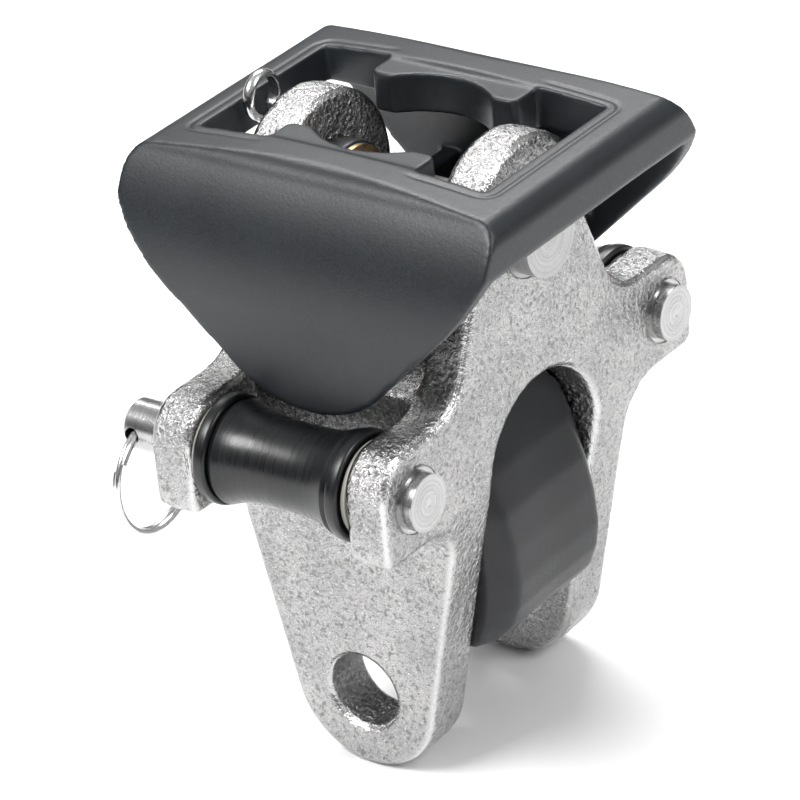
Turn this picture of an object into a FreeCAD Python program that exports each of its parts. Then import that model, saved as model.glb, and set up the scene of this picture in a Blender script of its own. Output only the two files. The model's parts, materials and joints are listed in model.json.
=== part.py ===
"""Fork-mounted lead cleat: a cast stainless body with two grooved rollers, a pivoted
moulded saddle over them, and a fork below whose two eyes take a 12 mm clevis pin.

Millimetres. The origin is the middle of the fork eyes' common bore.
X runs along the roller pins (their heads are at +X), Y from the front roller to the
rear roller, Z up.
"""
import FreeCAD
import Part
import Sketcher
import os

SIZES = {
    # cast body, half sizes from the middle planes
    "plate_half_width": 21.7,
    "plate_inner": 14.2,
    "lobe_radius": 15.2,
    "neck_half": 20.4,
    "neck_foot": 50.0,
    "neck_top": 71.0,
    "neck_top_half": 14.4,
    "neck_fillet": 8.0,
    "arm_reach": 41.0,
    "arm_top": 53.3,
    "arm_bottom": 35.6,
    "arm_nose": 7.0,
    "arm_corner": 2.0,
    "leg_fillet": 7.0,
    "lug_outer": 23.7,
    "gap_half": 14.0,
    "arch_height": 34.7,
    "tip_radius": 13.2,
    "shoulder_height": 36.5,
    "web_top": 54.5,
    "pocket_radius": 10.2,
    # fork eyes
    "eye_radius": 6.1,
    # roller pins
    "roller_reach": 33.0,
    "roller_height": 44.5,
    "pin_radius": 4.0,
    "pin_head_radius": 5.2,
    "pin_head_depth": 2.2,
    "pin_end": 30.5,
    "ring_hole_offset": 28.3,
    "ring_hole_radius": 1.3,
    # split rings
    "ring_radius": 9.0,
    "ring_wire": 0.5,
    "ring_drop": 8.53,
    # rollers
    "roller_half": 13.2,
    "flange_radius": 8.6,
    "waist_radius": 6.7,
    "flange_width": 2.6,
    "bush_radius": 5.2,
    "washer_depth": 0.8,
    "washer_radius": 7.4,
    # top pin
    "top_pin_height": 73.0,
    "top_pin_radius": 5.0,
    "top_head_radius": 7.0,
    "top_head_depth": 3.6,
    "top_pin_end": 27.4,
    "cotter_offset": 24.3,
    "cotter_radius": 1.1,
    "cotter_lean": 11.0,
    "cotter_eye_radius": 3.6,
    "cotter_eye_height": 14.6,
    "cotter_leg": 9.0,
    "top_washer_depth": 1.0,
    # running and fixed clearances
    "running_gap": 0.05,
    "seat_gap": 0.1,
    # saddle cap
    "cap_half_width": 33.5,
    "cap_top": 88.8,
    "cap_crown": 1.6,
    "cap_top_half": 19.7,
    "cap_bulge": 30.4,
    "cap_wall": 3.4,
    "cap_deck_under": 81.5,
    "cap_rim_under": 78.8,
    "cap_rim_wall": 3.2,
    "cap_lip": 51.6,
    "window_half_width": 25.9,
    "window_half_depth": 15.6,
    "tab_half_width": 13.5,
    "tab_tip": 9.8,
    "tab_recess": 13.4,
    "boss_outer": 13.8,
    "boss_width": 3.4,
    "boss_radius": 7.8,
    "boss_bush_radius": 6.2,
    "bush_collar": 0.8,
    "rib_foot": 62.0,
    "rib_top": 68.0,
    # fork pad
    "pad_half": 13.9,
    "pad_bottom": 6.6,
    "pad_swell": 22.3,
    "screw_radius": 2.5,
    "screw_head_radius": 4.6,
    "screw_head_depth": 2.2,
    "screw_depth": 12.0,
}

doc = FreeCAD.newDocument("lead_cleat")
sheet = doc.addObject("Spreadsheet::Sheet", "sizes")
for row, (alias, number) in enumerate(SIZES.items(), start=1):
    cell = "A%d" % row
    sheet.set(cell, str(number))
    sheet.setAlias(cell, alias)
doc.recompute()

X_AXIS = FreeCAD.Vector(1, 0, 0)
Y_AXIS = FreeCAD.Vector(0, 1, 0)
Z_AXIS = FreeCAD.Vector(0, 0, 1)
ALONG_X = FreeCAD.Rotation(Y_AXIS, 90)
ALONG_Y = FreeCAD.Rotation(X_AXIS, -90)
UPRIGHT = FreeCAD.Rotation()
nodes = []


def size(alias):
    """A driving dimension, read from the sheet."""
    return float(sheet.get(alias))


def bind(item, prop, text):
    """Bind one property to the sheet. Words that are aliases get the sheet's name."""
    words = []
    for word in text.split():
        words.append("sizes." + word if word in SIZES else word)
    item.setExpression(prop, " ".join(words))


def place(item, x="0", y="0", z="0", rotation=UPRIGHT):
    item.Placement = FreeCAD.Placement(FreeCAD.Vector(), rotation)
    bind(item, "Placement.Base.x", x)
    bind(item, "Placement.Base.y", y)
    bind(item, "Placement.Base.z", z)
    return item


def box(length, width, height, x, y, z):
    item = doc.addObject("Part::Box", "box")
    bind(item, "Length", length)
    bind(item, "Width", width)
    bind(item, "Height", height)
    return place(item, x, y, z)


def slab(half_x, half_y, low, high):
    """A box centred on the Z axis, between two heights."""
    return box("2 * ( %s )" % half_x, "2 * ( %s )" % half_y, "%s - ( %s )" % (high, low),
               "0 - ( %s )" % half_x, "0 - ( %s )" % half_y, low)


def rod(radius, start, end, y, z):
    """A cylinder along X, from start to end."""
    item = doc.addObject("Part::Cylinder", "rod")
    bind(item, "Radius", radius)
    bind(item, "Height", "( %s ) - ( %s )" % (end, start))
    return place(item, start, y, z, ALONG_X)


def cylinder(radius, height, x, y, z, rotation=UPRIGHT):
    item = doc.addObject("Part::Cylinder", "cylinder")
    bind(item, "Radius", radius)
    bind(item, "Height", height)
    return place(item, x, y, z, rotation)


def fuse(*items):
    item = doc.addObject("Part::MultiFuse", "fuse")
    item.Shapes = list(items)
    item.Refine = True
    return item


def cut(base, *tools):
    item = doc.addObject("Part::Cut", "cut")
    item.Base = base
    item.Tool = tools[0] if len(tools) == 1 else fuse(*tools)
    item.Refine = True
    return item


def common(one, other):
    item = doc.addObject("Part::Common", "common")
    item.Base = one
    item.Tool = other
    return item


def rounded(base, radius, wanted):
    """A fillet on every edge of base that wanted(edge) picks."""
    doc.recompute()
    item = doc.addObject("Part::Fillet", "rounded")
    item.Base = base
    picked = [number for number, edge in enumerate(base.Shape.Edges, start=1) if wanted(edge)]
    item.Edges = [(number, radius, radius) for number in picked]
    return item


def node(item, label):
    """Give a finished sub-part the name of its file."""
    item.Label = label
    nodes.append(item)
    return item


def prism(label, points, half_width, along):
    """A closed outline of lines, drawn through points and pulled both ways along one axis."""
    wire = Part.makePolygon(points + [points[0]])
    solid = Part.Face(wire).extrude(along * (2 * half_width))
    solid.translate(along * -half_width)
    item = doc.addObject("Part::Feature", label)
    item.Shape = solid
    return item


def revolved(label, profile, x="0", y="0", z="0"):
    """A PartDesign body turned about X. The profile is (along X, radius) as texts."""
    body = doc.addObject("PartDesign::Body", label)
    plane = [f for f in body.Origin.OriginFeatures if f.Role == "XY_Plane"][0]
    sketch = body.newObject("Sketcher::SketchObject", label + "_profile")
    sketch.AttachmentSupport = [(plane, "")]
    sketch.MapMode = "FlatFace"
    doc.recompute()
    values = []
    for pair in profile:
        texts = []
        for text in pair:
            words = ["sizes." + w if w in SIZES else w for w in text.split()]
            texts.append(float(sheet.evalExpression(" ".join(words))))
        values.append(FreeCAD.Vector(texts[0], texts[1], 0))
    count = len(values)
    for index in range(count):
        sketch.addGeometry(Part.LineSegment(values[index], values[(index + 1) % count]), False)
    for index in range(count):
        nxt = (index + 1) % count
        sketch.addConstraint(Sketcher.Constraint("Coincident", index, 2, nxt, 1))
    for index, (along, radius) in enumerate(profile):
        for kind, text, number in (("DistanceX", along, values[index].x),
                                   ("DistanceY", radius, values[index].y)):
            which = sketch.addConstraint(Sketcher.Constraint(kind, -1, 1, index, 1, number))
            bind(sketch, "Constraints[%d]" % which, text)
    turn = body.newObject("PartDesign::Revolution", label + "_turn")
    turn.Profile = sketch
    turn.ReferenceAxis = (sketch, ["H_Axis"])
    turn.Angle = 360
    place(body, x, y, z)
    doc.recompute()
    return body


# ---------------------------------------------------------------- cast body
def side_solid():
    """The body's side outline, full width: lobe, neck, arms and legs."""
    lobe = rod("lobe_radius", "0 - plate_half_width", "plate_half_width", "0", "top_pin_height")
    arms = slab("plate_half_width", "arm_reach", "arm_bottom", "arm_top")
    legs = slab("plate_half_width", "lug_outer", "0 - tip_radius", "arm_bottom + 1")
    foot = size("neck_foot")
    points = [FreeCAD.Vector(0, y, z) for y, z in (
        (-size("neck_half") - 2.2, foot), (size("neck_half") + 2.2, foot),
        (size("neck_top_half"), size("neck_top")), (-size("neck_top_half"), size("neck_top")))]
    taper = prism("neck", points, size("plate_half_width"), X_AXIS)
    return fuse(lobe, arms, legs, taper)


def along_x(edge):
    ends = edge.Vertexes
    if len(ends) != 2:
        return False
    run = ends[1].Point - ends[0].Point
    return abs(run.y) < 0.01 and abs(run.z) < 0.01 and abs(run.x) > 1


def middle(edge):
    return edge.CenterOfMass


def front_solid():
    """The body's front outline, full depth: straight sides that lean in to a round tip."""
    reach = size("arm_reach") + 1
    half = size("plate_half_width")
    shoulder = size("shoulder_height")
    tip = size("tip_radius")
    lean = FreeCAD.Vector(half, 0, shoulder)
    # tangent point of the line from the shoulder corner to the tip circle
    distance = lean.Length
    along = tip * tip / distance
    across = (tip * tip - along * along) ** 0.5
    unit = lean * (1.0 / distance)
    normal = FreeCAD.Vector(unit.z, 0, -unit.x)
    touch = unit * along + normal * across
    top = size("top_pin_height") + size("lobe_radius") + 1
    points = [FreeCAD.Vector(x, 0, z) for x, z in (
        (-half, top), (-half, shoulder), (-touch.x, touch.z),
        (touch.x, touch.z), (half, shoulder), (half, top))]
    upper = prism("shield", points, reach, Y_AXIS)
    tip_round = cylinder("tip_radius", "2 * ( arm_reach + 1 )", "0", "0 - arm_reach - 1", "0", ALONG_Y)
    return fuse(upper, tip_round)


def body_casting():
    outline = side_solid()
    outline = rounded(outline, size("neck_fillet"), lambda e: along_x(e)
                      and abs(middle(e).z - size("arm_top")) < 0.01 and abs(middle(e).y) < 30)
    outline = rounded(outline, size("arm_nose"), lambda e: along_x(e)
                      and abs(middle(e).z - size("arm_top")) < 0.01
                      and abs(abs(middle(e).y) - size("arm_reach")) < 0.01)
    outline = rounded(outline, size("leg_fillet"), lambda e: along_x(e)
                      and abs(middle(e).z - size("arm_bottom")) < 0.01
                      and abs(abs(middle(e).y) - size("lug_outer")) < 0.01)
    outline = rounded(outline, size("arm_corner"), lambda e: along_x(e)
                      and abs(middle(e).z - size("arm_bottom")) < 0.01
                      and abs(abs(middle(e).y) - size("arm_reach")) < 0.01)
    shape = common(outline, front_solid())
    arch = rod("gap_half", "0 - plate_half_width - 1", "plate_half_width + 1", "0", "arch_height")
    gap = slab("plate_half_width + 1", "gap_half", "0 - tip_radius - 1", "arch_height")
    well = slab("plate_inner", "arm_reach + 1", "web_top", "top_pin_height + lobe_radius + 1")
    eye = cylinder("eye_radius", "2 * lug_outer + 2", "0", "0 - lug_outer - 1", "0", ALONG_Y)
    tools = [arch, gap, well, eye]
    for side, place_y in (("0 - ", "0 - arm_reach - 1"), ("", "roller_reach")):
        centre = side + "roller_reach"
        tools.append(rod("pocket_radius", "0 - plate_inner", "plate_inner", centre, "roller_height"))
        tools.append(box("2 * plate_inner", "arm_reach + 1 - roller_reach", "web_top - arm_bottom + 8",
                         "0 - plate_inner", place_y, "arm_bottom - 7"))
        clear_y = "0 - arm_reach - 1" if side else "lug_outer"
        tools.append(box("2 * plate_inner", "arm_reach + 1 - lug_outer", "web_top - roller_height + 1",
                         "0 - plate_inner", clear_y, "roller_height"))
        tools.append(rod("pin_radius + running_gap", "0 - plate_half_width - 1",
                         "plate_half_width + 1", centre, "roller_height"))
    tools.append(rod("top_pin_radius + running_gap", "0 - plate_half_width - 1",
                     "plate_half_width + 1", "0", "top_pin_height"))
    tools.append(cylinder("screw_radius + seat_gap", "web_top + 1 - arch_height", "0", "0",
                          "arch_height"))
    node(cut(shape, *tools), "body_casting")


# ---------------------------------------------------------------- rollers, pins, rings
def roller(name, centre):
    """A turned roller with a hollow waist between two flanges, on a sleeve bush."""
    blank = rod("flange_radius", "0 - roller_half", "roller_half", centre, "roller_height")
    bore = rod("bush_radius", "0 - roller_half - 1", "roller_half + 1", centre, "roller_height")
    half_groove = size("roller_half") - size("flange_width")
    depth = size("flange_radius") - size("waist_radius")
    sweep = (half_groove ** 2 + depth ** 2) / (2 * depth)
    groove = doc.addObject("Part::Torus", "waist")
    groove.Radius2 = sweep
    bind(groove, "Radius1", "waist_radius + %.4f" % sweep)
    place(groove, "0", centre, "roller_height", ALONG_X)
    node(cut(blank, groove, bore), name + "_roller")
    sleeve = revolved(name + "_bush_body", (
        ("0 - roller_half", "pin_radius + running_gap"), ("roller_half", "pin_radius + running_gap"),
        ("roller_half", "bush_radius"), ("0 - roller_half", "bush_radius")),
        "0", centre, "roller_height")
    node(sleeve, name + "_roller_bush")


def side_washer(name, side, centre):
    sign = "" if side == "near" else "0 - "
    start = sign + "( plate_inner - 0.05 )" if side == "far" else "plate_inner - 0.05 - washer_depth"
    end = "%s + washer_depth" % start
    disc = rod("washer_radius", start, end, centre, "roller_height")
    hole = rod("pin_radius + running_gap", start + " - 1", end + " + 1", centre, "roller_height")
    node(cut(disc, hole), "%s_washer_%s" % (name, side))


def roller_pin(name, centre):
    """A headed clevis pin with a cross hole near its far end for a split ring."""
    turned = revolved(name + "_pin_body", (
        ("0 - pin_end", "0"), ("plate_half_width + pin_head_depth", "0"),
        ("plate_half_width + pin_head_depth", "pin_head_radius - 0.5"),
        ("plate_half_width + pin_head_depth - 0.5", "pin_head_radius"),
        ("plate_half_width", "pin_head_radius"), ("plate_half_width", "pin_radius"),
        ("0 - pin_end + 0.8", "pin_radius"), ("0 - pin_end", "pin_radius - 0.8")),
        "0", centre, "roller_height")
    hole = cylinder("ring_hole_radius", "2 * pin_radius + 2", "0 - ring_hole_offset",
                    centre + " - pin_radius - 1", "roller_height", ALONG_Y)
    node(cut(turned, hole), name + "_pin")


def split_ring(name, centre):
    """Two close coils of wire, side by side, hanging through the pin's cross hole."""
    coils = []
    for offset in (" - 0.9 * ring_wire", " + 0.9 * ring_wire"):
        coil = doc.addObject("Part::Torus", "coil")
        bind(coil, "Radius1", "ring_radius")
        bind(coil, "Radius2", "ring_wire")
        coils.append(place(coil, "0 - ring_hole_offset" + offset, centre,
                           "roller_height - ring_drop", ALONG_X))
    node(fuse(*coils), name + "_split_ring")


# ---------------------------------------------------------------- top pin
def top_pin():
    turned = revolved("top_pin_body", (
        ("0 - top_pin_end", "0"), ("plate_half_width + top_head_depth", "0"),
        ("plate_half_width + top_head_depth", "top_head_radius - 0.4"),
        ("plate_half_width + top_head_depth - 0.4", "top_head_radius"),
        ("plate_half_width", "top_head_radius"), ("plate_half_width", "top_pin_radius"),
        ("0 - top_pin_end + 0.8", "top_pin_radius"), ("0 - top_pin_end", "top_pin_radius - 0.8")),
        "0", "0", "top_pin_height")
    hole = doc.addObject("Part::Cylinder", "cotter_hole")
    bind(hole, "Radius", "cotter_radius + 0.15")
    bind(hole, "Height", "2 * top_pin_radius + 2")
    lean = FreeCAD.Rotation(X_AXIS, size("cotter_lean"))
    hole.Placement = FreeCAD.Placement(
        FreeCAD.Vector(-size("cotter_offset"), 0, size("top_pin_height"))
        + lean.multVec(Z_AXIS) * (-size("top_pin_radius") - 1), lean)
    node(cut(turned, hole), "top_pin")
    disc = rod("top_head_radius + 0.4", "0 - plate_half_width - top_washer_depth",
               "0 - plate_half_width", "0", "top_pin_height")
    bore = rod("top_pin_radius + running_gap", "0 - plate_half_width - 2 * top_washer_depth",
               "1 - plate_half_width", "0", "top_pin_height")
    node(cut(disc, bore), "top_pin_washer")


def cotter():
    """A split pin: a straight shank, a round eye above it and two legs spread below."""
    lean = FreeCAD.Placement(FreeCAD.Vector(-size("cotter_offset"), 0, size("top_pin_height")),
                             FreeCAD.Rotation(X_AXIS, size("cotter_lean")))
    wire = size("cotter_radius")
    eye_low = size("cotter_eye_height") - size("cotter_eye_radius")
    shank = Part.makeCylinder(wire, eye_low + size("cotter_leg"),
                              FreeCAD.Vector(0, 0, -size("cotter_leg")), Z_AXIS)
    eye = Part.makeTorus(size("cotter_eye_radius"), 0.75 * wire,
                         FreeCAD.Vector(0, 0, size("cotter_eye_height")), X_AXIS)
    shape = shank.fuse(eye)
    for side in (-1, 1):
        start = FreeCAD.Vector(0, 0, -size("cotter_leg") + 1.0)
        way = FreeCAD.Vector(0, side * 0.8, -1)
        shape = shape.fuse(Part.makeCylinder(0.7 * wire, 3.4, start, way))
    item = doc.addObject("Part::Feature", "cotter")
    item.Shape = shape.removeSplitter()
    item.Placement = lean
    node(item, "top_cotter_pin")


# ---------------------------------------------------------------- saddle cap
def cap_side(inset):
    """Half outline of the cap across Y: flat deck, tight corner, long flank down to the lip."""
    top = size("cap_top") - inset
    half = size("cap_top_half")
    bulge = size("cap_bulge") - inset
    corner = FreeCAD.Vector(0, half + 3.9 - 0.75 * inset, top - 2.2 + 0.3 * inset)
    waist = FreeCAD.Vector(0, bulge, 68.0)
    lip = FreeCAD.Vector(0, bulge - 1.6, size("cap_lip") - 6)
    start = FreeCAD.Vector(0, half, top)
    return start, corner, waist, lip


def cap_side_wire(inset):
    start, corner, waist, lip = cap_side(inset)
    flip = lambda v: FreeCAD.Vector(0, -v.y, v.z)
    corner_mid = FreeCAD.Vector(0, start.y + 2.2, start.z - 0.45)
    flank_mid = (corner + waist) * 0.5 + FreeCAD.Vector(0, 1.75, 0.8)
    edges = [Part.LineSegment(flip(start), start).toShape()]
    edges.append(Part.Arc(start, corner_mid, corner).toShape())
    edges.append(Part.Arc(corner, flank_mid, waist).toShape())
    edges.append(Part.LineSegment(waist, lip).toShape())
    edges.append(Part.LineSegment(lip, flip(lip)).toShape())
    edges.append(Part.LineSegment(flip(lip), flip(waist)).toShape())
    edges.append(Part.Arc(flip(waist), flip(flank_mid), flip(corner)).toShape())
    edges.append(Part.Arc(flip(corner), flip(corner_mid), flip(start)).toShape())
    return Part.Wire(Part.sortEdges(edges)[0])


def cap_front_wire():
    """Outline of the cap across X: a crowned deck and sides that run in to a round lip."""
    half = size("cap_half_width")
    top = size("cap_top")
    lip = size("cap_lip")
    round_off = 3.4
    shoulder = FreeCAD.Vector(half - round_off, 0, top - size("cap_crown"))
    shoulder_mid = FreeCAD.Vector(half - 0.3 * round_off, 0, shoulder.z - 0.35 * round_off)
    side_high = FreeCAD.Vector(half, 0, shoulder.z - round_off)
    side_low = FreeCAD.Vector(half, 0, size("cap_rim_under") + 1)
    turn_mid = FreeCAD.Vector(31.0, 0, 75.6)
    turn_end = FreeCAD.Vector(26.1, 0, 69.6)
    lip_start = FreeCAD.Vector(11.6, 0, 55.4)
    lip_mid = FreeCAD.Vector(6.2, 0, lip + 1.0)
    bottom = FreeCAD.Vector(0, 0, lip)
    flip = lambda v: FreeCAD.Vector(-v.x, 0, v.z)
    edges = [Part.Arc(flip(shoulder), FreeCAD.Vector(0, 0, top), shoulder).toShape()]
    edges.append(Part.Arc(shoulder, shoulder_mid, side_high).toShape())
    edges.append(Part.LineSegment(side_high, side_low).toShape())
    edges.append(Part.Arc(side_low, turn_mid, turn_end).toShape())
    edges.append(Part.LineSegment(turn_end, lip_start).toShape())
    edges.append(Part.Arc(lip_start, lip_mid, bottom).toShape())
    edges.append(Part.Arc(bottom, flip(lip_mid), flip(lip_start)).toShape())
    edges.append(Part.LineSegment(flip(lip_start), flip(turn_end)).toShape())
    edges.append(Part.Arc(flip(turn_end), flip(turn_mid), flip(side_low)).toShape())
    edges.append(Part.LineSegment(flip(side_low), flip(side_high)).toShape())
    edges.append(Part.Arc(flip(side_high), flip(shoulder_mid), flip(shoulder)).toShape())
    return Part.Wire(Part.sortEdges(edges)[0])


def cap_shell():
    """The moulding's outer skin: thick deck with two curved flanks hanging from it."""
    half = size("cap_half_width") + 1
    across = Part.Face(cap_side_wire(0)).extrude(X_AXIS * (2 * half))
    across.translate(X_AXIS * -half)
    depth = size("cap_bulge") + 2
    face_on = Part.Face(cap_front_wire()).extrude(Y_AXIS * (2 * depth))
    face_on.translate(Y_AXIS * -depth)
    outer = across.common(face_on)
    hollow = Part.Face(cap_side_wire(size("cap_wall"))).extrude(X_AXIS * (2 * half))
    hollow.translate(X_AXIS * -half)
    under = Part.makeBox(2 * half, 2 * depth, size("cap_rim_under"),
                         FreeCAD.Vector(-half, -depth, 0))
    inside = size("cap_half_width") - size("cap_rim_wall")
    under = under.fuse(Part.makeBox(2 * inside, 2 * depth, size("cap_deck_under"),
                                    FreeCAD.Vector(-inside, -depth, 0)))
    item = doc.addObject("Part::Feature", "cap_shell")
    item.Shape = outer.cut(hollow.common(under))
    return item


def saddle_cap():
    window = slab("window_half_width", "window_half_depth", "cap_deck_under - 1", "cap_top + 1")
    framed = cut(cap_shell(), window)
    parts = [framed]
    for y in ("0 - window_half_depth - 1", "tab_tip"):
        tab = box("2 * tab_half_width", "window_half_depth + 1 - tab_tip",
                  "cap_top - cap_deck_under - 0.6", "0 - tab_half_width", y, "cap_deck_under")
        recess = cylinder("tab_recess", "cap_top", "0", "0", "0")
        parts.append(rounded(cut(tab, recess), 1.6, lambda e: len(e.Vertexes) == 2
                             and abs(e.Vertexes[0].Z - e.Vertexes[1].Z) > 4
                             and abs(abs(middle(e).y) - size("tab_tip")) < 0.6))
    for x in ("0 - boss_outer", "boss_outer - boss_width"):
        parts.append(box("boss_width", "2 * ( cap_bulge - cap_wall + 0.3 )", "rib_top - rib_foot",
                         x, "0 - cap_bulge + cap_wall - 0.3", "rib_foot"))
        parts.append(rod("boss_radius", x, x + " + boss_width", "0", "top_pin_height"))
    bore = rod("boss_bush_radius", "0 - boss_outer - 1", "boss_outer + 1", "0", "top_pin_height")
    node(cut(fuse(*parts), bore), "saddle_cap")


def cap_bushes():
    """A flanged bush pressed into each of the cap's two bosses from the middle."""
    inner = "boss_outer - boss_width"
    for side in ("near", "far"):
        stretches = ((inner, "boss_outer", "boss_bush_radius"),
                     (inner + " - bush_collar", inner, "boss_radius - 0.5"))
        pieces = []
        for start, end, radius in stretches:
            if side == "far":
                start, end = "0 - ( %s )" % end, "0 - ( %s )" % start
            pieces.append(rod(radius, start, end, "0", "top_pin_height"))
        bore = rod("top_pin_radius + running_gap", "0 - boss_outer - 1", "boss_outer + 1", "0",
                   "top_pin_height")
        node(cut(fuse(*pieces), bore), "cap_bush_" + side)


# ---------------------------------------------------------------- fork pad
def fork_pad():
    """A moulded pad that fills the top of the fork gap and swells out past both plates."""
    swell = size("pad_swell")
    foot = size("pad_bottom")
    half = [FreeCAD.Vector(x, 0, z) for x, z in (
        (11.6, 48.4), (15.0, 42.0), (18.2, 35.8), (20.6, 29.6), (21.9, 24.0), (swell, 18.4),
        (21.6, 14.0), (20.0, 10.2), (17.6, 7.6), (15.2, foot))]
    points = half + [FreeCAD.Vector(-point.x, 0, point.z) for point in reversed(half)]
    outline = prism("pad_swell", points, 20.0, Y_AXIS)
    arch = rod("pad_half", "0 - plate_half_width - 3", "plate_half_width + 3", "0", "arch_height")
    below = slab("plate_half_width + 3", "pad_half", "pad_bottom", "arch_height")
    hole = cylinder("screw_radius", "screw_depth + 8", "0", "0",
                    "arch_height + pad_half - screw_depth")
    node(cut(common(fuse(arch, below), outline), hole), "fork_pad")


def fork_pad_screw():
    """A pan head screw down through the web into the pad."""
    shank = cylinder("screw_radius", "web_top - arch_height - pad_half + screw_depth", "0", "0",
                     "arch_height + pad_half - screw_depth")
    head = cylinder("screw_head_radius", "screw_head_depth", "0", "0", "web_top")
    node(fuse(shank, head), "fork_pad_screw")


body_casting()
for name, centre in (("front", "0 - roller_reach"), ("rear", "roller_reach")):
    roller(name, centre)
    for side in ("near", "far"):
        side_washer(name, side, centre)
    roller_pin(name, centre)
    split_ring(name, centre)
top_pin()
cotter()
saddle_cap()
cap_bushes()
fork_pad()
fork_pad_screw()

doc.recompute()
for item in doc.Objects:
    if "Invalid" in item.State or "Error" in item.State:
        raise RuntimeError("failed object: %s (%s)" % (item.Label, item.Name))
for item in nodes:
    if item.Shape.isNull() or not item.Shape.isValid():
        raise RuntimeError("bad shape: " + item.Label)
os.makedirs("parts", exist_ok=True)
for item in nodes:
    item.Shape.exportStep("parts/%s.step" % item.Label)
    print("%-18s %2d solid(s) %9.1f mm3" % (item.Label, len(item.Shape.Solids), item.Shape.Volume))
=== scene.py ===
"""Looks for the fork-mounted lead cleat. Every piece is built here in mesh code, in metres, in the
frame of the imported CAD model, and stands for the CAD node of the same place and size.

X runs along the roller pins (heads at +X), Y from the front roller to the rear one, Z up. The
origin is the middle of the fork eyes' bore.
"""
import json
import math
import bmesh
import bpy
import numpy as np
from mathutils import Matrix, Vector


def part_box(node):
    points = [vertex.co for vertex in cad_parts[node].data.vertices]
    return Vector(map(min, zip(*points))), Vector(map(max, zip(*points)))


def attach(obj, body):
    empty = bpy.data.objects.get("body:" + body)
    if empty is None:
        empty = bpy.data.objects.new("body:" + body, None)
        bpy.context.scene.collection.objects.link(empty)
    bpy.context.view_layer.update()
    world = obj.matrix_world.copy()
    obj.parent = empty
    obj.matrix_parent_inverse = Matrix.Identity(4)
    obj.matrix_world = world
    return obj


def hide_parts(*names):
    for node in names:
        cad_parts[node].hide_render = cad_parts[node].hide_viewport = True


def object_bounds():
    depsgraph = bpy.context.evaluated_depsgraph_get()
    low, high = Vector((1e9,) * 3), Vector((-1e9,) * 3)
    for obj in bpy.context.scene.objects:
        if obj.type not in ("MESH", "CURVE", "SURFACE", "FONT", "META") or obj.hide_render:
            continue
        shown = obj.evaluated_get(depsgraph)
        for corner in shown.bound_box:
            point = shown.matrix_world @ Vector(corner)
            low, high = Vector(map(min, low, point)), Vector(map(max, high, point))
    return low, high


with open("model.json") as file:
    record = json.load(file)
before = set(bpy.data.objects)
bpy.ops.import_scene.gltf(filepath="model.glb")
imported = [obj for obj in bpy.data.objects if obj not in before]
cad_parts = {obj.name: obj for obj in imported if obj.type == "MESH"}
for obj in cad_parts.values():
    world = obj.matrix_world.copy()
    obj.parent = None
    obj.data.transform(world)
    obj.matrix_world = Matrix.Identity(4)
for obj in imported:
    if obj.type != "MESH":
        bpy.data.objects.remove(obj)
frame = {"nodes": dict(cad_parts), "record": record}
cad_low, cad_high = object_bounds()

MM = 0.001
RECORD = frame["record"]
BODY_OF = {node: body for body, nodes in RECORD["behaviour"]["bodies"].items() for node in nodes}


def middle_of(node):
    low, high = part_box(node)
    return (low + high) / 2


FRONT_PIN = middle_of("front_roller")
REAR_PIN = middle_of("rear_roller")
TOP_PIN = Vector((0, 0, middle_of("top_pin_washer").z))

# radii of the pins and of what fits round them
PIN_RADIUS = 4.0 * MM
PIN_HEAD_RADIUS = 5.2 * MM
PIN_FIT_RADIUS = 4.06 * MM
ROLLER_BUSH_RADIUS = 5.18 * MM
ROLLER_BORE_RADIUS = 5.25 * MM
TOP_PIN_RADIUS = 5.0 * MM
TOP_PIN_HEAD_RADIUS = 7.0 * MM
TOP_PIN_FIT_RADIUS = 5.06 * MM

# cross holes: place along the pin, radius, and lean about X from upright
RING_HOLE = (-28.3 * MM, 1.3 * MM, math.pi / 2)
COTTER_LEAN = math.radians(11)
COTTER_HOLE = (-24.3 * MM, 1.25 * MM, COTTER_LEAN)


# ---------------------------------------------------------------- smooth noise in numpy
class Noise:
    """Smooth random values in space, repeating every 32 cells, from a seeded lattice."""

    CELLS = 32

    def __init__(self, seed):
        shape = (self.CELLS,) * 3
        self.lattice = np.random.default_rng(seed).uniform(-1, 1, shape)

    def at(self, points, cell):
        scaled = np.asarray(points) / cell
        base = np.floor(scaled).astype(int)
        part = scaled - base
        part = part * part * (3 - 2 * part)
        total = np.zeros(len(scaled))
        for corner in np.ndindex(2, 2, 2):
            index = (base + corner) % self.CELLS
            weight = np.prod(np.where(corner, part, 1 - part), axis=1)
            total += weight * self.lattice[index[:, 0], index[:, 1], index[:, 2]]
        return total


def smoothstep(low, high, value):
    share = np.clip((value - low) / (high - low), 0, 1)
    return share * share * (3 - 2 * share)


# ---------------------------------------------------------------- pieces
def new_object(name, data):
    made = bpy.data.objects.new(name, data)
    bpy.context.scene.collection.objects.link(made)
    return made


def finish_piece(name, mesh, node, material):
    """Make an object of mesh that stands for one CAD node and rides on the node's body."""
    piece = new_object(name, mesh)
    mesh.materials.clear()
    mesh.materials.append(material)
    mesh.shade_smooth()
    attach(piece, BODY_OF[node])
    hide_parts(node)
    return piece


def mesh_from(name, points, faces, merge=0.0):
    """A mesh with outward normals. Points closer than merge become one."""
    mesh = bpy.data.meshes.new(name)
    mesh.from_pydata([tuple(p) for p in points], [], faces)
    mesh.update()
    work = bmesh.new()
    work.from_mesh(mesh)
    if merge > 0:
        bmesh.ops.remove_doubles(work, verts=work.verts, dist=merge)
    bmesh.ops.recalc_face_normals(work, faces=work.faces)
    work.to_mesh(mesh)
    work.free()
    return mesh


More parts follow.
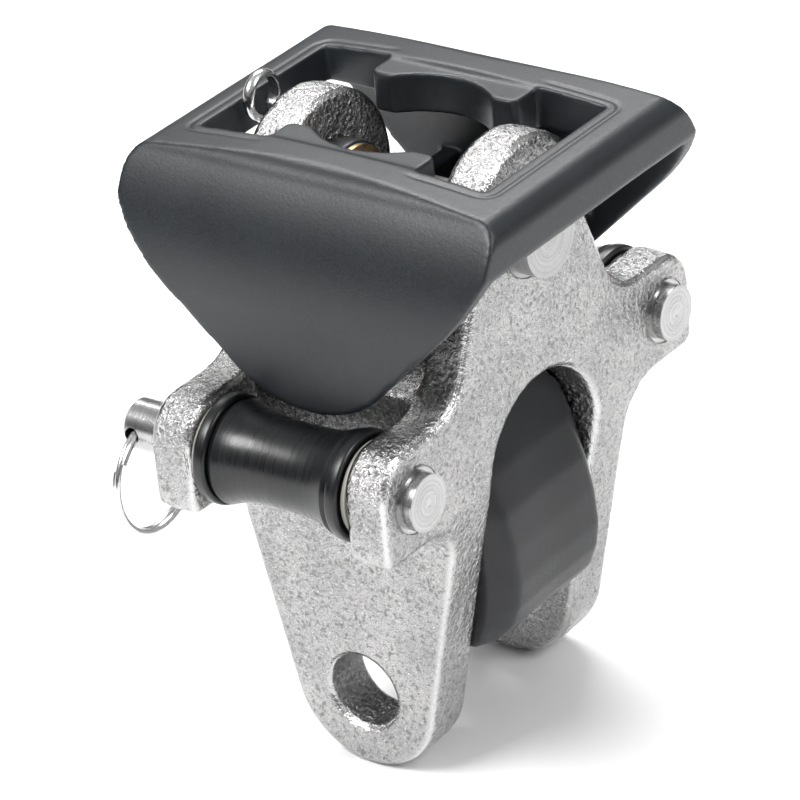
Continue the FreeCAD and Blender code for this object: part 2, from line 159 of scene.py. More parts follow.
def soften_by_angle(mesh, degrees=38):
    """Edges sharper than the angle stay crisp under smooth shading."""
    work = bmesh.new()
    work.from_mesh(mesh)
    for edge in work.edges:
        if len(edge.link_faces) == 2 and edge.calc_face_angle(0) > math.radians(degrees):
            edge.smooth = False
    work.to_mesh(mesh)
    work.free()


def voxel_copy(node, voxel):
    """The node's shape as an even net of small squares, as a new mesh."""
    source = frame["nodes"][node]
    twin = new_object(node + "_twin", source.data.copy())
    net = twin.modifiers.new("net", "REMESH")
    net.mode = "VOXEL"
    net.voxel_size = voxel
    net.adaptivity = 0
    shown = twin.evaluated_get(bpy.context.evaluated_depsgraph_get())
    mesh = bpy.data.meshes.new_from_object(shown)
    spare = twin.data
    bpy.data.objects.remove(twin)
    bpy.data.meshes.remove(spare)
    mesh.name = node + "_net"
    return mesh


def read_points(mesh):
    points = np.empty(len(mesh.vertices) * 3)
    mesh.vertices.foreach_get("co", points)
    return points.reshape(-1, 3)


def write_points(mesh, points):
    mesh.vertices.foreach_set("co", points.astype(np.float32).ravel())
    mesh.update()


def read_normals(mesh):
    normals = np.empty(len(mesh.vertices) * 3)
    mesh.vertices.foreach_get("normal", normals)
    return normals.reshape(-1, 3)


def edge_ends(mesh):
    """Each edge's two point numbers, and how many edges meet at each point."""
    ends = np.empty(len(mesh.edges) * 2, np.int32)
    mesh.edges.foreach_get("vertices", ends)
    first, second = ends.reshape(-1, 2).T
    size = len(mesh.vertices)
    count = np.bincount(first, minlength=size) + np.bincount(second, minlength=size)
    return first, second, count


def relax(mesh, rounds):
    """Round every edge off by repeated averaging, and return how far each point moved."""
    points = read_points(mesh)
    start = points.copy()
    first, second, count = edge_ends(mesh)
    for _ in range(rounds):
        total = np.empty_like(points)
        for axis in range(3):
            total[:, axis] = np.bincount(first, points[second, axis], len(points))
            total[:, axis] += np.bincount(second, points[first, axis], len(points))
        points += 0.5 * (total / count[:, None] - points)
    write_points(mesh, points)
    return np.linalg.norm(points - start, axis=1)


def store(mesh, name, values):
    layer = mesh.attributes.new(name, "FLOAT", "POINT")
    layer.data.foreach_set("value", np.asarray(values, np.float32))


def spread(mesh, values, rounds):
    """Blur one number per point over its neighbours."""
    first, second, count = edge_ends(mesh)
    size = len(values)
    for _ in range(rounds):
        total = np.bincount(first, values[second], size) + np.bincount(second, values[first], size)
        values = 0.5 * values + 0.5 * total / count
    return values


def filleted(corners):
    """An outline of (along, out, radius) corners with each corner turned into an arc."""
    count = len(corners)
    dense = []
    for index, (along, out, radius) in enumerate(corners):
        here = np.array((along, out))
        if radius <= 0:
            dense.append(here)
            continue
        before = np.array(corners[index - 1][:2]) - here
        after = np.array(corners[(index + 1) % count][:2]) - here
        before /= np.linalg.norm(before)
        after /= np.linalg.norm(after)
        half = math.acos(float(np.clip(before @ after, -1, 1))) / 2
        reach = radius / math.tan(half)
        centre = here + (before + after) / np.linalg.norm(before + after) * radius / math.sin(half)
        one = here + before * reach - centre
        two = here + after * reach - centre
        sweep = math.atan2(one[0] * two[1] - one[1] * two[0], one @ two)
        for share in np.linspace(0, 1, 6):
            turn = sweep * share
            spin = np.array(((math.cos(turn), -math.sin(turn)), (math.sin(turn), math.cos(turn))))
            dense.append(centre + spin @ one)
    return dense


def lathe(name, outline, centre, steps=128, closed=True, out_scale=None):
    """Turn an outline of (along X, radius) points about the X line through centre."""
    rings = len(outline)
    points = []
    for step in range(steps):
        angle = 2 * math.pi * step / steps
        for along, out in outline:
            stretch = 1 if out_scale is None else out_scale(along, out, angle)
            radius = out * stretch
            points.append((centre[0] + along, centre[1] + radius * math.cos(angle),
                           centre[2] + radius * math.sin(angle)))
    faces = []
    spans = rings if closed else rings - 1
    for step in range(steps):
        here = step * rings
        there = (step + 1) % steps * rings
        for ring in range(spans):
            nxt = (ring + 1) % rings
            faces.append((here + ring, there + ring, there + nxt, here + nxt))
    mesh = mesh_from(name, points, faces, merge=1e-7)
    soften_by_angle(mesh)
    return mesh


def sweep(name, path, section, sideways):
    """Pull a closed section along an open path. sideways(i, ahead) is the section's first axis."""
    points = []
    for index, here in enumerate(path):
        ahead = path[min(index + 1, len(path) - 1)] - path[max(index - 1, 0)]
        ahead = ahead / np.linalg.norm(ahead)
        side = sideways(index, ahead)
        side = side - ahead * (side @ ahead)
        side /= np.linalg.norm(side)
        other = np.cross(ahead, side)
        for one, two in section:
            points.append(here + side * one + other * two)
    size = len(section)
    faces = []
    for ring in range(len(path) - 1):
        for index in range(size):
            nxt = (index + 1) % size
            low = ring * size
            faces.append((low + index, low + nxt, low + size + nxt, low + size + index))
    faces.append(tuple(range(size)))
    faces.append(tuple(reversed(range(len(points) - size, len(points)))))
    mesh = mesh_from(name, points, faces)
    soften_by_angle(mesh)
    return mesh


# ---------------------------------------------------------------- materials
class Shader:
    """A material's node tree, with short calls for adding and joining nodes."""

    def __init__(self, name):
        self.material = bpy.data.materials.new(name)
        self.material.use_nodes = True
        self.tree = self.material.node_tree
        self.surface = self.tree.nodes["Principled BSDF"]
        self.place = self.add("ShaderNodeTexCoord").outputs["Object"]

    def add(self, kind, links=None, **values):
        made = self.tree.nodes.new(kind)
        for key, value in values.items():
            setattr(made, key, value)
        for key, source in (links or {}).items():
            if isinstance(source, bpy.types.NodeSocket):
                self.tree.links.new(source, made.inputs[key])
            else:
                made.inputs[key].default_value = source
        return made

    def noise(self, grain, detail=2.0, rough=0.5, squash=(1, 1, 1)):
        """Noise whose features are about grain metres across."""
        place = self.place
        if squash != (1, 1, 1):
            place = self.add("ShaderNodeMapping", {"Vector": self.place, "Scale": squash}).outputs[0]
        node = self.add("ShaderNodeTexNoise", {"Vector": place, "Scale": 1 / grain,
                                               "Detail": detail, "Roughness": rough})
        return node.outputs["Fac"]

    def cells(self, grain):
        """Distance to the nearest of random points about grain metres apart."""
        node = self.add("ShaderNodeTexVoronoi", {"Vector": self.place, "Scale": 1 / grain})
        return node.outputs["Distance"]

    def ramp(self, source, low, high, start=0.0, end=1.0):
        """Map source from low..high to start..end, clamped."""
        node = self.add("ShaderNodeMapRange", {"Value": source, "From Min": low, "From Max": high,
                                               "To Min": start, "To Max": end})
        return node.outputs["Result"]

    def mix(self, share, one, two):
        node = self.add("ShaderNodeMix", data_type="RGBA")
        for key, value in (("Factor", share), ("A", one), ("B", two)):
            socket = [s for s in node.inputs if s.name == key and s.enabled][0]
            if isinstance(value, bpy.types.NodeSocket):
                self.tree.links.new(value, socket)
            else:
                socket.default_value = value
        return [s for s in node.outputs if s.enabled][0]

    def math(self, operation, one, two=0.0):
        node = self.add("ShaderNodeMath", {0: one, 1: two}, operation=operation)
        return node.outputs[0]

    def attribute(self, name):
        return self.add("ShaderNodeAttribute", attribute_name=name).outputs["Fac"]

    def bump(self, height, depth, strength=1.0, under=None):
        links = {"Height": height, "Distance": depth, "Strength": strength}
        if under is not None:
            links["Normal"] = under
        return self.add("ShaderNodeBump", links).outputs["Normal"]

    def set(self, **values):
        for key, value in values.items():
            socket = self.surface.inputs[key.replace("_", " ")]
            if isinstance(value, bpy.types.NodeSocket):
                self.tree.links.new(value, socket)
            else:
                socket.default_value = value


def grey(value, warm=0.0):
    return (value * (1 + warm), value, value * (1 - warm), 1)


def cast_stainless():
    """Tumbled casting: granular faces with bright and dark flecks, polished where edges are worn, and
    lighter there with a painted edge highlight.
    """
    shader = Shader("cast_stainless")
    polish_and_highlight = shader.attribute("polish_and_highlight")
    grain = shader.noise(0.75 * MM, 3, 0.6)
    fine = shader.noise(0.28 * MM, 2, 0.6)
    pits = shader.cells(0.9 * MM)
    cloud = shader.noise(9 * MM, 3)
    dark_fleck = shader.ramp(grain, 0.36, 0.47, 1, 0)
    bright_fleck = shader.ramp(fine, 0.58, 0.70)
    face = shader.mix(shader.ramp(cloud, 0.35, 0.65), grey(0.40), grey(0.50, 0.01))
    face = shader.mix(dark_fleck, face, grey(0.24))
    face = shader.mix(bright_fleck, face, grey(0.74))
    # lighter edge colour: real polish together with a painted highlight along the rounded edges
    wear_and_highlight = shader.mix(shader.ramp(fine, 0.40, 0.62), grey(0.62), grey(0.74, 0.01))
    colour = shader.mix(polish_and_highlight, face, wear_and_highlight)
    rough_face = shader.ramp(grain, 0.3, 0.7, 0.34, 0.20)
    rough = shader.add("ShaderNodeMix", data_type="FLOAT")
    shader.tree.links.new(polish_and_highlight, rough.inputs[0])
    shader.tree.links.new(rough_face, rough.inputs[2])
    shader.tree.links.new(shader.ramp(fine, 0.3, 0.7, 0.15, 0.24), rough.inputs[3])
    relief = shader.math("ADD", grain, shader.math("MULTIPLY", pits, 0.35))
    relief = shader.math("ADD", relief, shader.math("MULTIPLY", fine, 0.35))
    relief = shader.math("MULTIPLY", relief, shader.ramp(polish_and_highlight, 0, 1, 1.0, 0.10))
    normal = shader.bump(relief, 0.42 * MM, 1.0)
    shader.set(Base_Color=colour, Metallic=1.0, Roughness=rough.outputs[0], Normal=normal)
    return shader.material


def turned_stainless(name, centre, tone, rough, ring, depth):
    """Turned about X through centre: fine rings on the faces and lines round the barrel."""
    shader = Shader(name)
    apart = shader.add("ShaderNodeSeparateXYZ", {"Vector": shader.place}).outputs
    out_y = shader.math("SUBTRACT", apart["Y"], centre.y)
    out_z = shader.math("SUBTRACT", apart["Z"], centre.z)
    out = shader.math("SQRT", shader.math("ADD", shader.math("MULTIPLY", out_y, out_y),
                                          shader.math("MULTIPLY", out_z, out_z)))
    turned = shader.add("ShaderNodeCombineXYZ", {"X": apart["X"], "Y": out}).outputs[0]
    lines = shader.add("ShaderNodeTexNoise", {"Vector": turned, "Scale": 1 / ring, "Detail": 2.0})
    speck = shader.noise(0.35 * MM, 2)
    cloud = shader.noise(3 * MM, 2)
    colour = shader.mix(shader.ramp(lines.outputs["Fac"], 0.35, 0.65), grey(tone * 0.80), grey(tone))
    colour = shader.mix(shader.ramp(speck, 0.62, 0.74), colour, grey(tone * 0.62))
    height = shader.math("ADD", lines.outputs["Fac"], shader.math("MULTIPLY", speck, 0.3))
    shader.set(Base_Color=colour, Metallic=1.0,
               Roughness=shader.ramp(cloud, 0.3, 0.7, rough - 0.06, rough + 0.06),
               Normal=shader.bump(height, depth, 0.8))
    return shader.material


def bright_wire():
    """Drawn wire, bright, with slightly duller patches."""
    shader = Shader("wire_stainless")
    drawn = shader.noise(0.4 * MM, 2)
    colour = shader.mix(shader.ramp(drawn, 0.4, 0.62), grey(0.66), grey(0.80))
    shader.set(Base_Color=colour, Metallic=1.0, Roughness=shader.ramp(drawn, 0.3, 0.7, 0.14, 0.26),
               Normal=shader.bump(drawn, 0.02 * MM, 0.5))
    return shader.material


def moulded_nylon(name, tone, sheen_rough):
    """Spark-eroded moulding texture, smoother along worn edges and a little lighter there, a painted edge
    highlight.
    """
    shader = Shader(name)
    edge = shader.attribute("polish_and_highlight")
    skin = shader.noise(0.45 * MM, 3, 0.65)
    fine = shader.noise(0.16 * MM, 2)
    cloud = shader.noise(14 * MM, 3)
    low = tuple(0.82 * v for v in tone) + (1,)
    high = tuple(1.18 * v for v in tone) + (1,)
    wear_and_highlight = tuple(1.9 * v for v in tone) + (1,)
    colour = shader.mix(shader.ramp(cloud, 0.35, 0.65), low, high)
    colour = shader.mix(shader.ramp(fine, 0.55, 0.75, 0, 0.35), colour, wear_and_highlight)
    # painted edge highlight: the edges are lightened toward the pale tone
    colour = shader.mix(shader.math("MULTIPLY", edge, 0.45), colour, wear_and_highlight)
    rough = shader.ramp(skin, 0.3, 0.7, sheen_rough - 0.05, sheen_rough + 0.08)
    relief = shader.math("ADD", skin, shader.math("MULTIPLY", fine, 0.4))
    relief = shader.math("MULTIPLY", relief, shader.ramp(edge, 0, 1, 1.0, 0.35))
    shader.set(Base_Color=colour, Roughness=rough, Specular_IOR_Level=0.5,
               Normal=shader.bump(relief, 0.05 * MM, 0.6))
    return shader.material


def turned_acetal():
    """Near-black, with fine turning lines round the roller."""
    shader = Shader("turned_acetal")
    lines = shader.noise(0.5 * MM, 2, 0.5, (1, 0.02, 0.02))
    cloud = shader.noise(5 * MM, 2)
    colour = shader.mix(shader.ramp(cloud, 0.3, 0.7), (0.004, 0.0045, 0.005, 1), (0.009, 0.010, 0.011, 1))
    shader.set(Base_Color=colour, Roughness=shader.ramp(lines, 0.3, 0.7, 0.24, 0.36),
               Normal=shader.bump(lines, 0.03 * MM, 0.5))
    return shader.material


def plain_metal(name, colour, rough):
    """Metal of one colour with soft darker clouds, for small inner pieces."""
    shader = Shader(name)
    cloud = shader.noise(1.2 * MM, 3)
    dark = tuple(0.75 * v for v in colour) + (1,)
    shader.set(Base_Color=shader.mix(shader.ramp(cloud, 0.35, 0.65), dark, tuple(colour) + (1,)),
               Metallic=1.0, Roughness=shader.ramp(cloud, 0.3, 0.7, rough - 0.05, rough + 0.07),
               Normal=shader.bump(cloud, 0.03 * MM, 0.5))
    return shader.material


def floor_paint():
    shader = Shader("studio_floor")
    cloud = shader.noise(60 * MM, 2)
    shader.set(Base_Color=shader.mix(cloud, grey(0.90), grey(0.93)), Roughness=0.75)
    return shader.material


# ---------------------------------------------------------------- the cast body
def cast_body(material):
    """Softened edges, a faint swell, and pocks that stay clear of polished edges and bores."""
    mesh = voxel_copy("body_casting", 0.42 * MM)
    moved = relax(mesh, 20)
    # edge mask: real polish, and a painted highlight along the edges in the colour
    polish_and_highlight = spread(mesh, smoothstep(0.10 * MM, 0.38 * MM, moved), 2)
    points = read_points(mesh)
    normals = read_normals(mesh)
    undulation = Noise(3).at(points, 7 * MM) * 0.05 * MM
    pocks = Noise(5).at(points, 1.15 * MM) * 0.10 * MM
    inset = 0.15 * MM
    lift = (undulation + pocks) * (1 - 0.85 * polish_and_highlight) - inset
    bore_edge = 4.8 * MM
    bore_clear = 6.4 * MM
    fits = np.ones(len(points))
    for bore in (FRONT_PIN, REAR_PIN, TOP_PIN):
        away = np.hypot(points[:, 1] - bore.y, points[:, 2] - bore.z)
        fits *= smoothstep(bore_edge, bore_clear, away)
    write_points(mesh, points + normals * (lift * fits)[:, None])
    store(mesh, "polish_and_highlight", np.clip(polish_and_highlight, 0, 1))
    return finish_piece("cast_body", mesh, "body_casting", material)


# ---------------------------------------------------------------- saddle and pad
def saddle(material):
    """The moulded saddle, with a shallow groove round its window."""
    mesh = voxel_copy("saddle_cap", 0.36 * MM)
    moved = relax(mesh, 5)
    edge = spread(mesh, smoothstep(0.05 * MM, 0.16 * MM, moved), 2)
    points = read_points(mesh)
    normals = read_normals(mesh)
    x, y, z = points.T
    deck_depth = 6 * MM
    deck = smoothstep(0.75, 0.95, normals[:, 2]) * (z > cad_high.z - deck_depth)
    # the groove runs 2 mm outside the window's edge, and fades out beside the tabs
    window_x = 25.9 * MM
    window_y = 15.6 * MM
    gap = 2.0 * MM
    corner = 2.6 * MM
    groove_width = 0.30 * MM
    groove_depth = 0.22 * MM
    fade_start = 12.5 * MM
    fade_end = 15.5 * MM
    past_x = np.abs(x) - (window_x + gap - corner)
    past_y = np.abs(y) - (window_y + gap - corner)
    inside = np.minimum(np.maximum(past_x, past_y), 0)
    off = np.hypot(np.maximum(past_x, 0), np.maximum(past_y, 0)) + inside - corner
    groove = np.exp(-(off / groove_width) ** 2) * deck
    groove *= smoothstep(fade_start, fade_end, np.abs(x))
    points = points - normals * (groove * groove_depth)[:, None]
    points = points + normals * (Noise(11).at(points, 11 * MM) * 0.05 * MM - 0.05 * MM)[:, None]
    write_points(mesh, points)
    # edge mask, which also lightens the saddle's edges as a painted highlight
    store(mesh, "polish_and_highlight", np.clip(edge, 0, 1))
    return finish_piece("saddle", mesh, "saddle_cap", material)


def pad(material):
    """The pad's ends swell out past the plates, with a soft upright ridge near each side."""
    mesh = voxel_copy("fork_pad", 0.45 * MM)
    relax(mesh, 4)
    points = read_points(mesh)
    y = np.abs(points[:, 1])
    inner = 14.2 * MM
    out = np.clip(np.abs(points[:, 0]) - inner, 0, None)
    ridge = 10.5 * MM
    side = 14.2 * MM
    fall = 1 - 0.42 * smoothstep(ridge, side, y) - 0.04 * (1 - smoothstep(0, ridge, y))
    points[:, 0] = np.sign(points[:, 0]) * (np.abs(points[:, 0]) - out * (1 - fall))
    write_points(mesh, points)
    moved = relax(mesh, 3)
    # edge mask, which also lightens the pad's edges as a painted highlight
    store(mesh, "polish_and_highlight", np.clip(smoothstep(0.04 * MM, 0.2 * MM, moved), 0, 1) * 0.6)
    return finish_piece("pad", mesh, "fork_pad", material)


# ---------------------------------------------------------------- rollers and their pins
def build_roller(name, centre, materials):
    """A roller with a hollow waist and a shallow recess in each end, and the sleeve in its bore."""
    low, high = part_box(name + "_roller")
    half = (high.x - low.x) / 2
    flange = (high.z - low.z) / 2
    waist = flange - 1.9 * MM
    rim = 2.9 * MM
    recess = 0.35 * MM
    outline = [(-half, ROLLER_BORE_RADIUS, 0),
               (-half, 6.6 * MM, 0.2 * MM), (-half + recess, 6.9 * MM, 0.2 * MM),
               (-half + recess, 7.6 * MM, 0.2 * MM), (-half, 7.9 * MM, 0.15 * MM),
               (-half, flange, 0.55 * MM), (-half + rim, flange, 0.6 * MM)]
    left = filleted(outline)
    depth = flange - waist - 0.45 * MM
    groove = []
    for share in np.linspace(-1, 1, 41):
        along = share * (half - rim - 0.25 * MM)
        groove.append(np.array((along, waist + depth * abs(share) ** 3.2)))
    right = [np.array((-along, out)) for along, out in reversed(left)]
    mesh = lathe(name + "_roller_turned", left + groove + right, centre, 144)
    finish_piece(name + "_roller_turned", mesh, name + "_roller", materials["roller"])
    low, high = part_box(name + "_roller_bush")
    sleeve = filleted([(low.x, PIN_FIT_RADIUS, 0.15 * MM), (high.x, PIN_FIT_RADIUS, 0.15 * MM),
                       (high.x, ROLLER_BUSH_RADIUS, 0.2 * MM), (low.x, ROLLER_BUSH_RADIUS, 0.2 * MM)])
    mesh = lathe(name + "_sleeve", sleeve, (0, centre.y, centre.z), 96)
    finish_piece(name + "_sleeve", mesh, name + "_roller_bush", materials["bush"])


def build_ring_piece(name, node, centre, bore, material):
    """A washer or sleeve: a flat ring with softened edges, as long as its CAD node."""
    low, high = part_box(node)
    outside = (high.z - low.z) / 2
    lip = 0.18 * MM
    outline = filleted([(low.x, bore, lip), (high.x, bore, lip), (high.x, outside, lip),
                        (low.x, outside, lip)])
    mesh = lathe(name, outline, (0, centre.y, centre.z), 112)
    return finish_piece(name, mesh, node, material)


def build_pin(name, node, centre, head, barrel, grooves, material, hole):
    """A headed pin with turned rings on its head face and a cross hole near the other end."""
    low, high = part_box(node)
    seat = max(c.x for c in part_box("body_casting"))
    face = high.x
    corners = [(low.x, 0, 0), (low.x, barrel - 0.8 * MM, 0.25 * MM), (low.x + 0.8 * MM, barrel, 0.3 * MM),
               (seat, barrel, 0.1 * MM), (seat, head, 0.25 * MM), (face - 0.05 * MM, head, 0.45 * MM)]
    outline = filleted(corners)
    edge = head - 0.75 * MM
    groove_pitch = 0.85 * MM
    dish_radius = 0.7 * MM
    for share in np.linspace(1, 0, 56):
        out = edge * share
        ripple = grooves * 0.5 * (1 - math.cos(2 * math.pi * out / groove_pitch))
        dish = 0.10 * MM * math.exp(-(out / dish_radius) ** 2)
        outline.append(np.array((face - ripple - dish, out)))
    mesh = lathe(name, outline, (0, centre.y, centre.z), 128, closed=False)
    piece = finish_piece(name, mesh, node, material)
    drill_at, drill_radius, drill_lean = hole
    drill_mesh = bpy.data.meshes.new(name + "_drill")
    work = bmesh.new()
    bmesh.ops.create_cone(work, cap_ends=True, segments=40, radius1=drill_radius, radius2=drill_radius,
                          depth=4 * barrel)
    work.to_mesh(drill_mesh)
    work.free()
    drill = new_object(name + "_drill", drill_mesh)
    drill.matrix_world = (Matrix.Translation((drill_at, centre.y, centre.z))
                          @ Matrix.Rotation(drill_lean, 4, "X"))
    bpy.context.view_layer.update()
    bore = piece.modifiers.new("bore", "BOOLEAN")
    bore.object = drill
    bore.operation = "DIFFERENCE"
    shown = piece.evaluated_get(bpy.context.evaluated_depsgraph_get())
    drilled = bpy.data.meshes.new_from_object(shown)
    piece.modifiers.clear()
    piece.data = drilled
    bpy.data.objects.remove(drill)
    soften_by_angle(drilled)
    return piece


def build_split_ring(name, centre, material):
    """One wire wound twice round, the coils springing apart a little at its two ends."""
    low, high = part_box(name + "_split_ring")
    wire = 0.5 * MM
    radius = (high.z - low.z) / 2 - wire
    middle = (low + high) / 2
    reach = (high.x - low.x) / 2 - wire
    start = math.radians(-118)
    wound = math.radians(712)
    path = []
    for share in np.linspace(0, 1, 241):
        angle = start + share * wound
        side = 2 * smoothstep(0.36, 0.64, share) - 1
        spring = 0.35 * MM * (smoothstep(0.93, 1.0, share) + smoothstep(0.07, 0.0, share))
        out = radius - 0.05 * MM - spring * 0.5
        path.append(np.array((middle.x + side * reach, middle.y + out * math.sin(angle),
                              middle.z - out * math.cos(angle))))
    section = [(wire * math.cos(a), wire * math.sin(a)) for a in np.linspace(0, 2 * math.pi, 15)[:-1]]
    hub = np.array((middle.x, middle.y, middle.z))
    mesh = sweep(name + "_ring_wire", path, section, lambda index, ahead: path[index] - hub)
    return finish_piece(name + "_ring_wire", mesh, name + "_split_ring", material)


def build_cotter(material):
    """Half-round wire folded double: two legs in the hole, a flat loop above, ends spread below."""
    low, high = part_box("top_cotter_pin")
    at_x = (low.x + high.x) / 2
    rise = 14.6 * MM
    loop = 3.05 * MM
    leg = 9.0 * MM
    neck = 2.6 * MM
    half = [(-2.3 * MM, -leg - 1.4 * MM), (-1.2 * MM, -leg + 0.4 * MM), (-0.30 * MM, -leg + 2.4 * MM)]
    half += [(-0.03 * MM, z) for z in np.linspace(-leg + 3.6 * MM, rise - loop - neck, 8)]
    arc = []
    for angle in np.linspace(-62, 242, 44):
        turn = math.radians(angle)
        arc.append((-loop * math.cos(turn), rise + loop * math.sin(turn)))
    route = smooth_route(half + arc + [(-y, z) for y, z in reversed(half)], 2)
    path = []
    for y, z in route:
        path.append(np.array((at_x, TOP_PIN.y + y * math.cos(COTTER_LEAN) - z * math.sin(COTTER_LEAN),
                              TOP_PIN.z + y * math.sin(COTTER_LEAN) + z * math.cos(COTTER_LEAN))))
    wire = 0.98 * MM
    section = [(wire * math.sin(a), wire * math.cos(a)) for a in np.linspace(0.06, math.pi - 0.06, 13)]
    section = [(0.0, wire * 0.93)] + section + [(0.0, -wire * 0.93)]
    across = np.array((1.0, 0.0, 0.0))
    mesh = sweep("cotter_wire", path, section, lambda index, ahead: np.cross(across, ahead))
    return finish_piece("cotter_wire", mesh, "top_cotter_pin", material)


def smooth_route(route, rounds):
    """Cut corners off an open route, keeping its ends."""
    for _ in range(rounds):
        dense = [route[0]]
        for one, two in zip(route, route[1:]):
            dense.append(tuple(0.75 * a + 0.25 * b for a, b in zip(one, two)))
            dense.append(tuple(0.25 * a + 0.75 * b for a, b in zip(one, two)))
        dense.append(route[-1])
        route = dense
    return route


def build_screw(material):
    """Pan head screw with a hexagon socket, pointing down into the pad."""
    low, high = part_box("fork_pad_screw")
    web = high.z - 2.2 * MM
    head = (high.x - low.x) / 2
    shank = 2.5 * MM
    socket = 1.6 * MM
    corners = [(low.z, 0, 0), (low.z, 2.3 * MM, 0.3 * MM), (low.z + 0.5 * MM, shank, 0.1 * MM),
               (web, shank, 0.1 * MM), (web, head, 0.2 * MM), (web + 1.0 * MM, head, 0.5 * MM),
               (high.z, head - 1.3 * MM, 0.5 * MM), (high.z, 2.0 * MM, 0)]
    outline = filleted(corners)
    outline += [np.array((high.z - 0.15 * MM, socket)), np.array((high.z - 1.2 * MM, socket)),
                np.array((high.z - 1.6 * MM, 0))]

    def hexagon(along, out, angle):
        if out > 1.7 * MM or along < web:
            return 1
        return 1 / math.cos((angle + math.pi / 6) % (math.pi / 3) - math.pi / 6)

    mesh = lathe("pad_screw", outline, (0, 0, 0), 96, closed=False, out_scale=hexagon)
    mesh.transform(Matrix.Rotation(-math.pi / 2, 4, "Y"))
    return finish_piece("pad_screw", mesh, "fork_pad_screw", material)


# ---------------------------------------------------------------- studio
def build_floor(material):
    work = bmesh.new()
    bmesh.ops.create_grid(work, x_segments=8, y_segments=8, size=3.0)
    mesh = bpy.data.meshes.new("studio_floor")
    work.to_mesh(mesh)
    work.free()
    mesh.materials.append(material)
    floor = new_object("studio_floor", mesh)
    floor.location.z = cad_low.z


def build_light(name, azimuth, elevation, distance, size, power):
    """A rectangular soft box at an angle round the object, pointing at its middle."""
    light = bpy.data.lights.new(name, "AREA")
    light.shape = "RECTANGLE"
    light.size, light.size_y = size
    light.energy = power
    lamp = new_object(name, light)
    around = math.radians(azimuth)
    above = math.radians(elevation)
    way = Vector((math.sin(around) * math.cos(above), -math.cos(around) * math.cos(above),
                  math.sin(above)))
    target = (cad_low + cad_high) / 2
    lamp.location = target + way * distance
    lamp.rotation_mode = "QUATERNION"
    lamp.rotation_quaternion = (-way).to_track_quat("-Z", "Y")


def build_world():
    """A studio room: bright overhead, dark towards the horizon and below."""
    world = bpy.data.worlds.new("studio")
    bpy.context.scene.world = world
    world.use_nodes = True
    tree = world.node_tree
    sky = tree.nodes["Background"]
    place = tree.nodes.new("ShaderNodeTexCoord")
    apart = tree.nodes.new("ShaderNodeSeparateXYZ")
    ramp = tree.nodes.new("ShaderNodeValToRGB")
    tree.links.new(place.outputs["Generated"], apart.inputs[0])
    tree.links.new(apart.outputs["Z"], ramp.inputs[0])
    tree.links.new(ramp.outputs[0], sky.inputs["Color"])
    ramp.color_ramp.elements[0].position = 0.0
    ramp.color_ramp.elements[0].color = grey(0.02)
    ramp.color_ramp.elements[1].position = 0.75
    ramp.color_ramp.elements[1].color = grey(1.0)
    sky.inputs["Strength"].default_value = 0.55


def build_camera():
    """Long lens from the front right, above the rollers, tipped slightly to one side."""
    azimuth, elevation, roll = (math.radians(v) for v in (38.48, 28.22, -5.62))
    distance = 714.7 * MM
    aside = 4.11 * MM
    below = 4.35 * MM
    right = Vector((math.cos(azimuth), math.sin(azimuth), 0))
    up = Vector((-math.sin(azimuth) * math.sin(elevation), math.cos(azimuth) * math.sin(elevation),
                 math.cos(elevation)))
    back = right.cross(up)
    across = right * math.cos(roll) + up * math.sin(roll)
    upright = up * math.cos(roll) - right * math.sin(roll)
    target = (FRONT_PIN + REAR_PIN) / 2
    data = bpy.data.cameras.new("camera")
    data.sensor_width = 36
    data.lens = 211.1
    data.clip_start = 0.05
    data.clip_end = 20
    camera = new_object("camera", data)
    turn = Matrix((across, upright, back)).transposed().to_4x4()
    place = target - across * aside - upright * below + back * distance
    camera.matrix_world = Matrix.Translation(place) @ turn
    bpy.context.scene.camera = camera


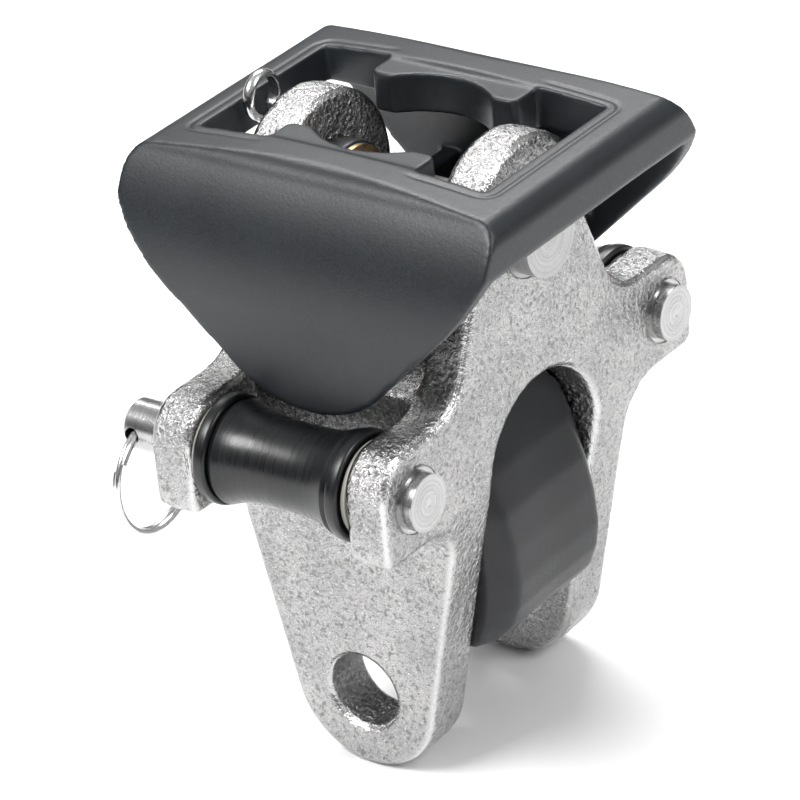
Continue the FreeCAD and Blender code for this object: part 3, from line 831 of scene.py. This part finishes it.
# ---------------------------------------------------------------- assembly
materials = {
    "cast": cast_stainless(),
    "front_pin": turned_stainless("front_pin_stainless", FRONT_PIN, 0.50, 0.24, 0.5 * MM, 0.03 * MM),
    "rear_pin": turned_stainless("rear_pin_stainless", REAR_PIN, 0.50, 0.24, 0.5 * MM, 0.03 * MM),
    "top_pin": turned_stainless("top_pin_stainless", TOP_PIN, 0.42, 0.34, 0.35 * MM, 0.02 * MM),
    "wire": bright_wire(),
    "saddle": moulded_nylon("saddle_nylon", (0.011, 0.0135, 0.0165), 0.40),
    "pad": moulded_nylon("pad_nylon", (0.010, 0.011, 0.013), 0.36),
    "roller": turned_acetal(),
    "bush": moulded_nylon("bush_acetal", (0.30, 0.29, 0.26), 0.45),
    "bronze": plain_metal("bush_bronze", (0.55, 0.40, 0.22), 0.32),
    "steel": plain_metal("polished_stainless", (0.70, 0.70, 0.70), 0.22),
}

cast_body(materials["cast"])
saddle(materials["saddle"])
pad(materials["pad"])
build_screw(materials["steel"])
for name, centre in (("front", FRONT_PIN), ("rear", REAR_PIN)):
    build_roller(name, centre, materials)
    for side in ("near", "far"):
        build_ring_piece(f"{name}_thrust_washer_{side}", f"{name}_washer_{side}", centre,
                         PIN_FIT_RADIUS, materials["bush"])
    build_pin(name + "_pin_turned", name + "_pin", centre, PIN_HEAD_RADIUS, PIN_RADIUS, 0.07 * MM,
              materials[name + "_pin"], RING_HOLE)
    build_split_ring(name, centre, materials["wire"])
build_pin("top_pin_turned", "top_pin", TOP_PIN, TOP_PIN_HEAD_RADIUS, TOP_PIN_RADIUS, 0.012 * MM,
          materials["top_pin"], COTTER_HOLE)
build_ring_piece("top_pin_washer_flat", "top_pin_washer", TOP_PIN, TOP_PIN_FIT_RADIUS,
                 materials["steel"])
for side in ("near", "far"):
    build_ring_piece("saddle_bush_" + side, "cap_bush_" + side, TOP_PIN, TOP_PIN_FIT_RADIUS,
                     materials["bronze"])
build_cotter(materials["wire"])

build_floor(floor_paint())
build_light("key", -25, 50, 0.9, (0.50, 0.30), 8)
build_light("fill", 100, 38, 1.0, (0.30, 0.45), 4.5)
build_light("rim", 215, 50, 1.0, (0.6, 0.4), 8)
build_world()
build_camera()
bpy.context.scene.view_settings.view_transform = "Standard"
